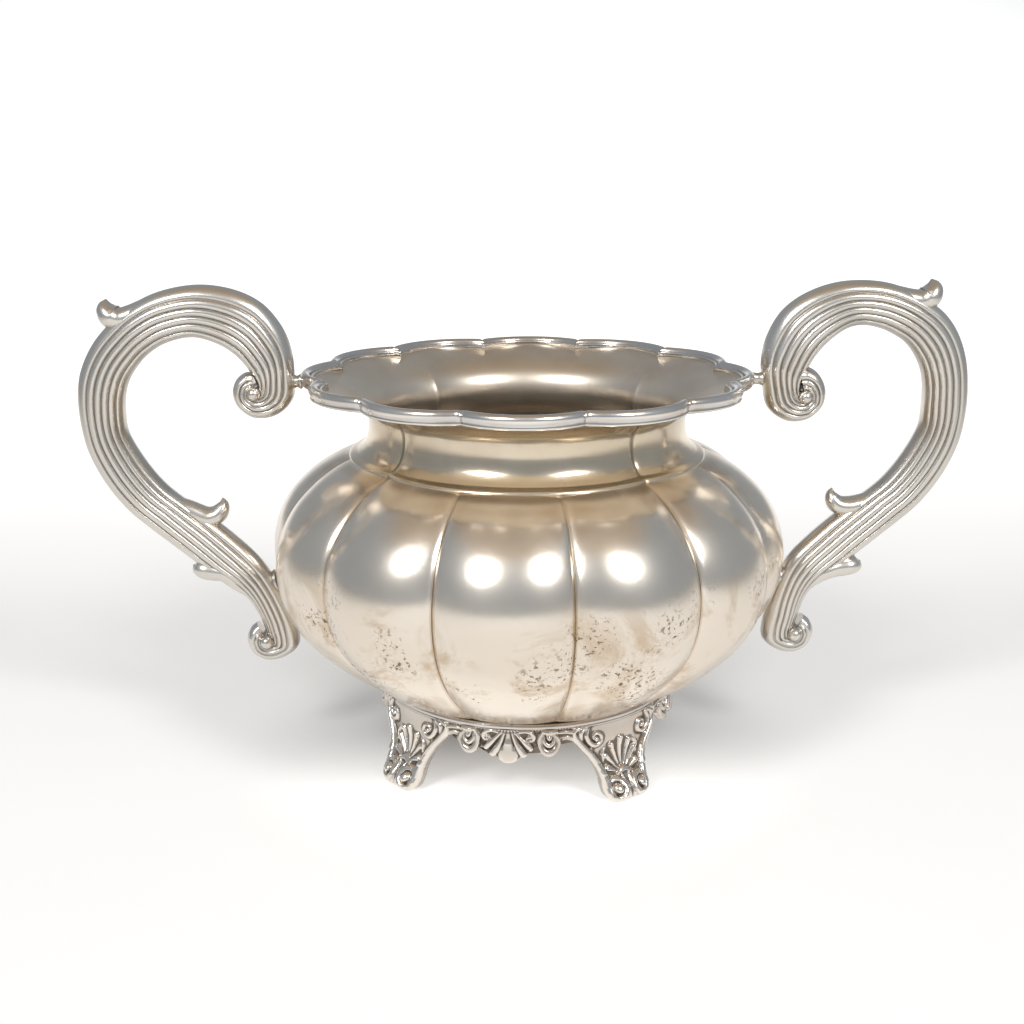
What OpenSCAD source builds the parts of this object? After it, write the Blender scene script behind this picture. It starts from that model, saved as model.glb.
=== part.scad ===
/* [Body] */
// Number of lobes around the belly and scallops around the rim
lobes = 12; // [12:12:12]
// Radius of the belly at the crest of a lobe
belly_r = 59; // [57:0.5:60]
// How far a crease lies inside the lobe crests, as a share of the radius
lobe_depth = 0.05; // [0.03:0.005:0.07]
// Thickness of the silver sheet of belly and neck
sheet = 0.9; // [0.8:0.1:1.2]

/* [Neck and rim] */
// Radius at the narrowest place of the neck
waist_r = 35.9; // [35.5:0.1:37.5]
// How far a neck crease lies inside the panels, as a share of the radius
panel_depth = 0.04; // [0.02:0.005:0.05]
// Outer radius of the rim at the crest of a scallop
rim_r = 51.2; // [50.8:0.1:51.4]
// How far a cusp of the rim lies inside its crests
scallop = 3.2; // [2:0.1:3.6]
// Width of the applied rim border
border_w = 3.2; // [3:0.1:3.4]

/* [Base] */
// Outer radius of the plain band under the belly
band_r = 32.4; // [32:0.1:32.6]
// Radius of the flat pad under each toe
pad_r = 2.4; // [2:0.1:2.6]

/* [Handles] */
// Half of the thickness of a handle, from its middle plane to its face
handle_h = 4.3; // [3.8:0.1:4.8]
// Wall of the hollow handle castings
handle_wall = 1.3; // [1.1:0.1:1.5]
// Depth of the grooves between the reeds
reed_depth = 0.7; // [0.4:0.1:0.9]

/* [Hand fitting] */
// Turn of the belly and neck panels against the handles, in degrees
body_turn = -7; // [-8:0.5:0]
// Turn of the rim border against the handles, in degrees
rim_turn = -3; // [-5:0.5:0]
// Turn of the feet and aprons against the handles, in degrees
base_turn = -9; // [-10:0.5:0]
// Turn of the right handle's upper scroll, bent in by hand, in degrees
scroll_bend = 11.5; // [8:0.5:12]

/* [Hidden] */
silver = [0.77, 0.75, 0.70];
cast_silver = [0.66, 0.64, 0.60];

// Heights of the seams, from the surface that the feet stand on
seat_z = 19.2;
seam_z = 72.6;
flange_z = 89.2;
lobe_angle = 360 / lobes;
panel_angle = 90;
// Steps across one lobe of the belly, and across one scallop of the rim
belly_steps = 6;
rim_steps = 4;

// Outside of the belly at a lobe crest, going up: [height, radius, lobe weight, panel weight]
belly_line = [for (p = [[20.2, 0.605, 0.5, 0], [22.4, 0.673, 0.8, 0], [26, 0.763, 1, 0],
    [31.5, 0.866, 1, 0], [37.5, 0.945, 1, 0], [44, 0.99, 1, 0], [51, 1, 1, 0], [57.5, 0.976, 1, 0],
    [63, 0.924, 1, 0.2], [67.6, 0.845, 0.85, 0.5], [70.6, 0.765, 0.5, 0.8], [seam_z, 0.68, 0.15, 1]])
    [p[0], p[1] * belly_r, p[2], p[3]]];
// Outside of the neck at a panel centre, going up: [height, radius, lobe weight, panel weight]
neck_line = [
    [seam_z - 0.3, waist_r + 4.7, 0, 1], [73.5, waist_r + 3, 0, 1], [75, waist_r + 1.4, 0, 1],
    [77, waist_r + 0.4, 0, 1], [79.4, waist_r, 0, 1], [82, waist_r + 0.8, 0, 0.7],
    [84, waist_r + 3.1, 0, 0.4], [86, waist_r + 6.4, 0, 0.15],
    [flange_z - sheet, rim_r - border_w - 1.6, 0, 0]];

// Place on a lobe or panel: 0 at its centre, 1 in the crease
function crease(phi, step) = abs((phi + 1000 * step + step / 2) % step - step / 2) / (step / 2);
function lobed(r, phi, lobe, panel) = r * (1 - lobe * lobe_depth * pow(crease(phi, lobe_angle), 2))
    * (1 - panel * panel_depth * pow(crease(phi, panel_angle), 2));
function rim_at(phi) = rim_r - scallop * pow(crease(phi, lobe_angle), 2);
function polar(r, phi, z) = [r * sin(phi), -r * cos(phi), z];

// Catmull-Rom curve through a list of points, with n steps to a span
function bend(a, b, c, d, t) = 0.5 * (2 * b + (c - a) * t + (2 * a - 5 * b + 4 * c - d) * t * t
    + (3 * b - a - 3 * c + d) * t * t * t);
function curve(p, n) = [for (i = [0 : len(p) - 2], k = [0 : n - 1])
        bend(p[max(i - 1, 0)], p[i], p[i + 1], p[min(i + 2, len(p) - 1)], k / n), p[len(p) - 1]];

function band_faces(m, n, wrap) = [for (i = [0 : m - (wrap ? 1 : 2)], j = [0 : n - 1])
        let (a = i * n + j, b = i * n + (j + 1) % n, c = (i + 1) % m * n + j, d = (i + 1) % m * n + (j + 1) % n)
            each [[a, d, b], [a, c, d]]];

// The sheet's inner side, going back down: one thickness inside a line that goes up
function inner_side(line) = [for (i = [len(line) - 2 : -1 : 0])
        let (p = line[i], next = line[i + 1], last = line[max(i - 1, 0)],
            up = next[0] - last[0], out = next[1] - last[1], size = norm([up, out]))
            [p[0] + sheet * out / size, p[1] - sheet * up / size, p[2], p[3]]];

// Ring of equal sections all the way round. A section goes up outside and down inside.
module turned(sections) {
    n = len(sections[0]);
    polyhedron([for (s = sections) each s],
        [for (f = band_faces(len(sections), n, true)) [f[0], f[2], f[1]]]);
}

// Row of equal sections with closed ends. Each section runs out over n points and back under them.
module lofted(sections) {
    m = len(sections);
    n = len(sections[0]);
    last = (m - 1) * n;
    ends = [for (j = [0 : n / 2 - 2])
            each [[j, j + 1, n - 2 - j, n - 1 - j], [last + j, last + n - 1 - j, last + n - 2 - j, last + j + 1]]];
    polyhedron([for (s = sections) each s], concat(band_faces(m, n, false), ends));
}

module belly() {
    // Under the belly the sheet turns in to a flat seat, and a disc closes the floor
    floor_z = seat_z + sheet;
    floor_r = 27;
    lap = 0.5;
    outside = concat([[seat_z, floor_r, 0, 0], [seat_z, 31.6, 0, 0], [seat_z + 0.3, 33.4, 0.25, 0]], belly_line);
    inside = concat([[seam_z - 0.3, belly_line[11][1] - 0.6, 0.15, 1]], inner_side(belly_line),
        [[floor_z + 0.2, 31.8, 0.2, 0], [floor_z, 30, 0, 0], [floor_z, floor_r, 0, 0]]);
    loop = concat(outside, inside);
    color(silver) rotate([0, 0, body_turn]) {
        turned([for (k = [0 : lobes * belly_steps - 1])
                let (phi = k * 360 / (lobes * belly_steps))
                    [for (p = loop) polar(lobed(p[1], phi, p[2], p[3]), phi, p[0])]]);
        translate([0, 0, seat_z + 0.2]) cylinder(r = floor_r + lap, h = sheet - 0.3, $fn = 96);
    }
}

module neck() {
    wall = curve(neck_line, 2);
    lining = inner_side(wall);
    foot_lining = len(lining) - 1;
    // The flange is cut to the rim border, while the panels are turned with the belly
    color(silver) rotate([0, 0, rim_turn]) turned([for (k = [0 : lobes * rim_steps - 1])
        let (phi = k * 360 / (lobes * rim_steps), edge = rim_at(phi) - border_w, panel = phi + rim_turn - body_turn)
            concat([for (i = [0 : len(wall) - 2]) polar(lobed(wall[i][1], panel, 0, wall[i][3]), phi, wall[i][0])],
                [polar(edge, phi, flange_z - sheet), polar(edge, phi, flange_z)],
                [for (i = [0 : foot_lining]) let (p = lining[i])
                    polar(lobed(p[1], panel, 0, p[3]), phi, i == foot_lining ? seam_z : p[0])])]);
}

module rim_border() {
    // Section of the moulding: [distance from its inner edge, height]
    section = [[0, flange_z - 1], [0.9, flange_z - 1.3], [2.5, flange_z - 1.2], [2.8, flange_z - 0.6],
        [border_w, flange_z + 0.4], [2.9, flange_z + 1.4], [2, flange_z + 1.9], [1.2, flange_z + 1.2],
        [0.6, flange_z + 1.4], [0, flange_z + 0.8]];
    color(silver) rotate([0, 0, rim_turn]) turned([for (k = [0 : lobes * rim_steps - 1])
        let (phi = k * 360 / (lobes * rim_steps))
            [for (p = section) polar(rim_at(phi) - border_w + p[0], phi, p[1])]]);
}

module base_ring() {
    band_bottom = 16;
    bead_r = 0.7;
    color(silver) rotate_extrude($fn = 96) union() {
        translate([band_r - 1.4, band_bottom]) square([1.4, seat_z - band_bottom]);
        translate([28.4, seat_z - 1.2]) square([band_r - 28.4 + 0.8, 1.2]);
        translate([band_r + 0.8, seat_z - bead_r]) circle(r = bead_r, $fn = 32);
    }
}

// Front of a foot, from the band down to the toe: [height, radius, half width]
foot_line = [[18, 33.2, 11.4], [15, 33.7, 11.2], [12, 33.6, 8.9], [9, 33.7, 6.9], [6, 34.8, 5.7],
    [3.6, 36.9, 5.6], [1.8, 38.4, 5.5], [0.4, 38.7, 5]];
// Back of a foot at the same stations
foot_back = [32.4, 32.4, 32.2, 31.6, 31.6, 32, 32.8, 33.4];

// Height of the cast relief at a place on a foot: edge ribs, fan of flutes and toe scrolls
function foot_relief(u, z, b) = let (fan_x = u, fan_z = z - 5, reach = norm([fan_x, fan_z]))
    (abs(u) > b - 1.9 ? 1 - pow((b - 0.95 - abs(u)) / 0.95, 2) : 0)
    + (fan_z > 0 && reach < 9 && abs(u) < b - 2 ? 0.7 * abs(cos(3.2 * atan2(fan_x, fan_z))) : 0)
    + (z < 5 && abs(u) > 1 ? 0.8 : 0);

module foot(phi) {
    columns = 12;
    line = curve([for (p = foot_line) p], 2);
    back = curve([for (r = foot_back) [r]], 2);
    m = len(line);
    sections = [for (i = [0 : m - 1]) let (z = line[i][0], r = line[i][1], b = line[i][2])
            concat([for (k = [0 : columns]) let (u = (1 - 2 * k / columns) * b)
                polar(r + (k == 0 || k == columns ? 0 : foot_relief(u, z, b)), phi + u / r * 180 / PI, z)],
                [for (k = [columns : -1 : 0]) let (u = (1 - 2 * k / columns) * b)
                    polar(back[i][0], phi + u / r * 180 / PI, z)])];
    color(cast_silver) {
        lofted(sections);
        rotate([0, 0, phi]) translate([0, -36, 0]) cylinder(r = pad_r, h = 2, $fn = 48);
    }
}

// Lower edge and swell of an apron: [distance from its centre, lower edge, swell outward]
apron_line = [[0, 10, 1.7], [1.6, 10.5, 1.5], [2.2, 11.5, 0.8], [3.6, 11.9, 1.4], [4.4, 13.2, 0.7],
    [5.4, 13.8, 1.2], [6.2, 15.4, 0.5], [7.2, 12.9, 1.3], [8.6, 12.1, 1.8], [10, 12.9, 1.4],
    [11.3, 14.9, 0.6], [12.6, 14.8, 0.8], [13.9, 14.5, 0.5]];

module apron(phi) {
    top_z = 17.9;
    n = len(apron_line) - 1;
    spread = concat([for (i = [n : -1 : 1]) [-apron_line[i][0], apron_line[i][1], apron_line[i][2]]], apron_line);
    color(cast_silver) lofted([for (p = spread)
        let (at = phi + p[0] / band_r * 180 / PI, middle = (top_z + p[1]) / 2, out = band_r + 0.2)
            [polar(out, at, top_z), polar(out + 0.5 + p[2] / 2, at, top_z - 0.5),
                polar(out + 0.5 + p[2], at, middle), polar(out + 0.3 + p[2] / 2, at, p[1]),
                polar(out - 1, at, p[1]), polar(out - 1, at, p[1] + 0.3),
                polar(out, at, middle), polar(out - 0.001, at, top_z - 0.6)]]);
}

// Centres of the two scrolls of a handle, [out from the bowl's axis, height]
upper_eye = [61.2, 86.5];
lower_eye = [62.1, 27.1];
eye_r = 0.6;
ball_r = 2.3;
function round_eye(eye, angle, r) = [eye[0] + r * cos(angle), eye[1] + r * sin(angle)];
// Angle and radius of the outer turn of each scroll
upper_turn = [[62, 4.7], [30, 5], [-5, 5], [-45, 5.1], [-90, 5.9], [-135, 7.2], [-172, 8.7]];
lower_turn = [[186, 7.4], [225, 5.7], [270, 4.9], [315, 4.6], [360, 4.7], [392, 4.9], [418, 5]];
// Edges of the strap between the scrolls: [inner x, inner z, outer x, outer z, share of the thickness]
strap_line = [
    [60.6, 87.2, 52.2, 90.6, 0.9], [60.9, 88.7, 52.7, 96.2, 1], [62.1, 91.1, 54.8, 101.6, 1],
    [65, 94.7, 59, 106.6, 1], [69, 97.4, 65.2, 109.6, 1], [74.4, 98.9, 73, 110.6, 1],
    [80.2, 97.7, 81.6, 109.4, 1], [84.4, 95.2, 88, 106.6, 1], [86.3, 93.5, 91.6, 105.3, 1],
    [87.3, 92.4, 95.4, 107, 0.95], [88.2, 91, 97.9, 103.8, 0.95], [88.9, 89.6, 96, 100.1, 1],
    [89.8, 86.8, 99.2, 93.4, 1], [90.4, 82.4, 100.7, 86.6, 1], [90.2, 78.2, 100.5, 79.6, 1],
    [88.7, 74.4, 99.2, 73, 1], [85.6, 69.2, 96, 66, 1], [82.2, 65, 91.4, 59.6, 0.97],
    [78.6, 61.9, 86, 54.6, 0.94], [75.6, 60.7, 82, 51.3, 0.92], [70.6, 61.3, 78.6, 49, 0.9],
    [69.2, 59.2, 77.2, 48, 0.9], [70.8, 56.2, 76.4, 47.2, 0.9], [68.6, 53.8, 77.9, 44.9, 0.88],
    [67, 52.4, 75.8, 43, 0.88], [64.4, 50.2, 71.4, 42.4, 0.86], [61, 46.6, 67.8, 40, 0.84],
    [59.4, 42.6, 65.6, 37, 0.82], [57.6, 38.6, 64.2, 34, 0.8], [55.8, 34, 62.6, 29.6, 0.8]];

// Stations of a whole handle half: [inner x, inner z, outer x, outer z, thickness share, hollow share]
handle_line = concat(
    [for (t = upper_turn) concat(round_eye(upper_eye, t[0], eye_r), round_eye(upper_eye, t[0], t[1]),
        [t[0] > 50 ? 0.5 : 0.8, 0])],
    [for (i = [0 : len(strap_line) - 1]) concat(strap_line[i], [i < 3 || i > 25 ? 0 : 1])],
    [for (t = lower_turn) concat(round_eye(lower_eye, t[0], t[1]), round_eye(lower_eye, t[0], eye_r),
        [t[0] > 400 ? 0.5 : 0.75, 0])]);

// Section of the reeds: [place across the strap, height], with a wide reed at the outer edge
reeds = 5;
reed_points = 2 * reeds + 1;
function across(j) = j / (reed_points - 1);
function reed_height(j) = let (t = across(j), envelope = pow(1 - pow(abs(2 * t - 1), 2.6), 1 / 2.6))
    j == 0 || j == reed_points - 1 ? 0 : handle_h * envelope - (j % 2 == 0 ? reed_depth : 0);

// Place of a point once the upper scroll of a handle is bent about the middle of its arch
arch = [76, 96];
bend_start = 74;
bend_height = 18;
function bent(p, bend) = let (t = max(0, min(1, (p[1] - bend_start + (arch[0] - p[0]) / 2) / bend_height)),
    share = t * t * (3 - 2 * t), a = bend * share, d = p - arch)
    arch + [d[0] * cos(a) - d[1] * sin(a), d[0] * sin(a) + d[1] * cos(a)];

// Back half of a handle on the right of the bowl, with its cavity open at the middle plane
module handle_half(bend) {
    sections = [for (s = handle_line)
            let (inner = bent([s[0], s[1]], bend), outer = bent([s[2], s[3]], bend), width = norm(outer - inner),
                lip = min(handle_wall / width, 0.3))
                concat([for (j = [0 : reed_points - 1]) let (at = inner + (outer - inner) * across(j))
                    [at[0], reed_height(j) * s[4], at[1]]],
                    [for (j = [reed_points - 1 : -1 : 0])
                        let (at = inner + (outer - inner) * (lip + (1 - 2 * lip) * across(j)))
                            [at[0], max(0, reed_height(j) * s[4] - handle_wall - reed_depth) * s[5], at[1]]])];
    lofted(sections);
    for (eye = [bent(upper_eye, bend), lower_eye]) translate([eye[0], 0, eye[1]]) rotate([-90, 0, 0]) ball_half();
}

// Ball in the eye of a scroll: a short post with a domed end, cut off at the middle plane
module ball_half() {
    post = handle_h - ball_r + 0.3;
    rotate_extrude($fn = 32) union() {
        square([ball_r, post]);
        translate([0, post]) intersection() {
            circle(r = ball_r, $fn = 32);
            square(ball_r);
        }
    }
}

// How far the upper lugs reach out of the rim; the bent scroll stands further from it
lug_reach = 2.2;
bent_lug_reach = 3.4;

module upper_lug(reach) {
    lug_start = rim_r - 0.8;
    color(cast_silver) translate([lug_start, 0, flange_z - 0.4]) rotate([0, 90, 0])
        cylinder(r = 1.5, h = reach, $fn = 48);
}

module lower_pad() {
    color(cast_silver) translate([belly_r - 1, 0, 41.4]) rotate([0, 76, 0]) cylinder(r = 2.6, h = 2, $fn = 48);
}

module handle_left_front_half() { color(cast_silver) mirror([1, 0, 0]) mirror([0, 1, 0]) handle_half(0); }
module handle_left_back_half() { color(cast_silver) mirror([1, 0, 0]) handle_half(0); }
module handle_right_front_half() { color(cast_silver) mirror([0, 1, 0]) handle_half(scroll_bend); }
module handle_right_back_half() { color(cast_silver) handle_half(scroll_bend); }

belly();
neck();
rim_border();
base_ring();
foot(base_turn - 45);  // foot_front_left
foot(base_turn + 45);  // foot_front_right
foot(base_turn - 135);  // foot_back_left
foot(base_turn + 135);  // foot_back_right
apron(base_turn);  // apron_front
apron(base_turn + 90);  // apron_right
apron(base_turn + 180);  // apron_back
apron(base_turn - 90);  // apron_left
handle_left_front_half();
handle_left_back_half();
handle_right_front_half();
handle_right_back_half();
mirror([1, 0, 0]) upper_lug(lug_reach);  // handle_left_upper_lug
upper_lug(bent_lug_reach);  // handle_right_upper_lug
mirror([1, 0, 0]) lower_pad();  // handle_left_lower_pad
lower_pad();  // handle_right_lower_pad
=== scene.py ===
import math
import bpy
import numpy as np
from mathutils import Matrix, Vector


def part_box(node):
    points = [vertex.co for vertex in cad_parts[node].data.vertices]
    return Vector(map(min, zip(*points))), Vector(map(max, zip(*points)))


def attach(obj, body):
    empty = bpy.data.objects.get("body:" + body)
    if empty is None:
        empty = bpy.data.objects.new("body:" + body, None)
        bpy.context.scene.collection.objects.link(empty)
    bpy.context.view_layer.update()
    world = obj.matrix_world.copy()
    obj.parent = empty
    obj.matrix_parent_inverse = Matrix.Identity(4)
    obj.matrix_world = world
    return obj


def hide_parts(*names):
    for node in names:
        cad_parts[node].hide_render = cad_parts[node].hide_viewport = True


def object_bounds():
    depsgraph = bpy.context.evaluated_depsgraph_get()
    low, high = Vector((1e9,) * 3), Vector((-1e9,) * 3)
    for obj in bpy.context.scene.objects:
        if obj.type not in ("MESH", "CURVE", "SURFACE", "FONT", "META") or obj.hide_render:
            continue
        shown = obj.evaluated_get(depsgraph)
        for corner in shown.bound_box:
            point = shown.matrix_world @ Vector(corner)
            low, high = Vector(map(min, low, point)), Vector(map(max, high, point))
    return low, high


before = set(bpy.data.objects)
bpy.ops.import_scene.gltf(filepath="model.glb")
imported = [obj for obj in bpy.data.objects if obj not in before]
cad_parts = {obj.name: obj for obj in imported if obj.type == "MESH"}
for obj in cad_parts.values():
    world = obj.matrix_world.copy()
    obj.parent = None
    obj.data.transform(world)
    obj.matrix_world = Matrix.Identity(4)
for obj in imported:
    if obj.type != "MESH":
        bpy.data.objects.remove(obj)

MM = 0.001
cad_box = [[float(v) for v in corner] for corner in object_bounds()]


def span(node):
    """Lowest and highest corner of a CAD node in millimetres."""
    low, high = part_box(node)
    return np.array(low) / MM, np.array(high) / MM


# ---------------------------------------------------------------- places taken from the CAD
belly_low, belly_high = span("belly")
ring_low, ring_high = span("base_ring")
rim_low, rim_high = span("rim_border")
seat_z = belly_low[2]
seam_z = belly_high[2]
flange_z = rim_low[2] + 1.3
belly_r = 59.0
waist_r = 35.9
rim_r = 51.2
border_w = 3.2
band_r = 32.4
body_turn = math.radians(-7)
rim_turn = math.radians(-3)
base_turn = math.radians(-9)
sheet = 0.9


# ---------------------------------------------------------------- mesh helpers
def smooth_line(points, n):
    """Catmull-Rom curve through the points, n steps a span."""
    p = np.array(points, float)
    a = np.vstack([2 * p[0] - p[1], p, 2 * p[-1] - p[-2]])
    t = np.linspace(0, 1, n, endpoint=False)[:, None]
    rows = []
    for i in range(len(p) - 1):
        p0, p1, p2, p3 = a[i], a[i + 1], a[i + 2], a[i + 3]
        rows.append(0.5 * (2 * p1 + (p2 - p0) * t + (2 * p0 - 5 * p1 + 4 * p2 - p3) * t ** 2
                           + (3 * p1 - p0 - 3 * p2 + p3) * t ** 3))
    rows.append(p[-1:])
    return np.vstack(rows)


def grid_faces(rows, cols, wrap_cols=True, wrap_rows=False, flip=False):
    """Quads of a grid of rows x cols points."""
    r = np.arange(rows if wrap_rows else rows - 1)
    c = np.arange(cols if wrap_cols else cols - 1)
    i, j = np.meshgrid(r, c, indexing="ij")
    i2, j2 = (i + 1) % rows, (j + 1) % cols
    quads = np.stack([i * cols + j, i * cols + j2, i2 * cols + j2, i2 * cols + j], -1).reshape(-1, 4)
    return quads[:, ::-1] if flip else quads


def polar(r, phi, z):
    """Points round the bowl's axis. phi is 0 at the front and grows to the right."""
    return np.stack([r * np.sin(phi), -r * np.cos(phi), z + 0 * phi], -1)


def crease(phi, step):
    """0 in the middle of a lobe and 1 on the creases between lobes."""
    return np.abs((phi + step / 2) % step - step / 2) / (step / 2)


def depth_below(v, edges, steps):
    """How far each point lies under the surface smoothed over its neighbours, along its normal."""
    n = len(v)
    a, b = edges[:, 0], edges[:, 1]
    count = np.maximum(np.bincount(a, minlength=n) + np.bincount(b, minlength=n), 1)[:, None]
    s = v.copy()
    for _ in range(steps):
        total = np.stack([np.bincount(a, s[b, k], n) + np.bincount(b, s[a, k], n) for k in range(3)], -1)
        s = 0.4 * s + 0.6 * total / count
    return s - v


def outward(v, quads, tris):
    """The faces, turned round if they look into the closed shape."""
    t = np.concatenate([quads[:, [0, 1, 2]], quads[:, [0, 2, 3]]] + ([np.array(tris)] if len(tris) else []))
    a, b, c = (v - v.mean(0))[t].transpose(1, 0, 2)
    if (a * np.cross(b, c)).sum() > 0:
        return quads, tris
    return quads[:, ::-1], (np.array(tris)[:, ::-1] if len(tris) else tris)


def piece(name, v, quads, tris=(), node=None, hollow_steps=10, also=(), turn=True):
    """A mesh in millimetres becomes a named piece with a hollow attribute for grime and wear."""
    if turn:
        quads, tris = outward(v, quads, tris)
    mesh = bpy.data.meshes.new(name)
    faces = [tuple(int(k) for k in q) for q in quads] + [tuple(int(k) for k in t) for t in tris]
    mesh.from_pydata([tuple(p) for p in (v * MM).tolist()], [], faces)
    mesh.validate()
    mesh.polygons.foreach_set("use_smooth", np.ones(len(mesh.polygons), bool))
    obj = bpy.data.objects.new(name, mesh)
    bpy.context.collection.objects.link(obj)
    mark_hollows(obj, hollow_steps)
    if node:
        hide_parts(node, *also)
    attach(obj, "root")
    return obj


def mark_hollows(obj, steps):
    mesh = obj.data
    n = len(mesh.vertices)
    v = np.empty(n * 3)
    mesh.vertices.foreach_get("co", v)
    v = v.reshape(-1, 3) / MM
    e = np.empty(len(mesh.edges) * 2, int)
    mesh.edges.foreach_get("vertices", e)
    nrm = np.empty(n * 3)
    mesh.vertex_normals.foreach_get("vector", nrm)
    d = (depth_below(v, e.reshape(-1, 2), steps) * nrm.reshape(-1, 3)).sum(1)
    attribute = mesh.attributes.get("hollow") or mesh.attributes.new("hollow", "FLOAT", "POINT")
    attribute.data.foreach_set("value", d.astype(np.float32))


# ---------------------------------------------------------------- belly
LOBES = 12
STEP = 2 * math.pi / LOBES
PANEL = math.pi / 2


def lobe_columns(per_lobe, lobes):
    """Angles round the bowl, close together at the creases."""
    t = np.linspace(-1, 1, per_lobe, endpoint=False)
    u = np.sign(t) * (1 - (1 - np.abs(t)) ** 1.9)
    step = 2 * math.pi / lobes
    return (np.arange(lobes)[:, None] * step + u[None] * step / 2).ravel()


def wave(phi, z, seed, size):
    """Gentle unevenness of raised sheet, in millimetres."""
    rng = np.random.default_rng(seed)
    total = 0
    for _ in range(14):
        k = rng.integers(2, 15)
        m = rng.uniform(0.02, 0.16)
        total = total + rng.uniform(0.4, 1) * np.sin(k * phi + m * z * 2 + rng.uniform(0, 6.28))
    return size * total / 5


belly_line = [[seat_z + 0.35, 0.566, 0.3, 0], [20.2, 0.605, 0.5, 0], [22.4, 0.673, 0.8, 0], [26, 0.763, 1, 0],
              [31.5, 0.866, 1, 0], [37.5, 0.945, 1, 0], [44, 0.99, 1, 0], [51, 1, 1, 0], [57.5, 0.976, 1, 0],
              [63, 0.924, 1, 0.2], [67.6, 0.845, 0.9, 0.5], [70.6, 0.765, 0.7, 0.8], [seam_z, 0.68, 0.35, 1]]


def belly_surface(line, phi, groove):
    z, share, lobe, panel = [line[:, k][:, None] for k in range(4)]
    u = crease(phi, STEP)[None]
    w = crease(phi, PANEL)[None]
    r = share * belly_r
    r = r * (1 - lobe * 0.052 * u ** 2.1) * (1 - panel * 0.04 * w ** 4)
    away = (1 - u) * STEP / 2 * r
    r = r - groove * lobe * 0.34 * np.exp(-(away / 0.55) ** 2)
    return r, z


def build_belly():
    phi = lobe_columns(30, LOBES)
    cols = len(phi)
    line = smooth_line(belly_line, 9)
    r, z = belly_surface(line, phi, 1)
    r = r + wave(phi[None], z, 4, 0.05) * np.clip((z - 21) / 8, 0, 1) * np.clip((seam_z - z) / 4, 0, 1)
    outer = polar(r, phi[None] + body_turn, z)
    flat = [polar(np.full(cols, q), phi + body_turn, seat_z + 0 * phi) for q in (6, 14, 22, 28, 31.4)]
    flat.append(polar(32.4 * (1 - 0.01 * crease(phi, STEP) ** 2), phi + body_turn, seat_z + 0.08 + 0 * phi))
    inner_line = smooth_line([[p[0] + (0.75 if i < 4 else 0.45 if i < 6 else 0), p[1] - (0.9 if i > 3 else 0.7) / belly_r, p[2], p[3]]
                              for i, p in enumerate(belly_line)], 3)[::-1]
    inner_line[0, 0] = seam_z
    ri, zi = belly_surface(inner_line, phi, 0.5)
    inner = polar(ri, phi[None] + body_turn, zi)
    floor_in = [polar(np.full(cols, q), phi + body_turn, seat_z + sheet + 0 * phi) for q in (30, 24, 16, 7)]
    rows = np.concatenate([np.array(flat), outer, inner, np.array(floor_in)])
    n = rows.shape[0]
    v = rows.reshape(-1, 3)
    quads = grid_faces(n, cols)
    under, inside = len(v), len(v) + 1
    v = np.vstack([v, [[0, 0, seat_z]], [[0, 0, seat_z + sheet]]])
    j = np.arange(cols)
    tris = np.concatenate([np.stack([np.full(cols, under), (j + 1) % cols, j], -1),
                           np.stack([np.full(cols, inside), (n - 1) * cols + j, (n - 1) * cols + (j + 1) % cols], -1)])
    return piece("belly_lobed", v, quads, tris, "belly", 14)


# ---------------------------------------------------------------- neck collar with its flange
def rim_at(phi):
    return rim_r - 3.2 * crease(phi, STEP) ** 2


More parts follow.
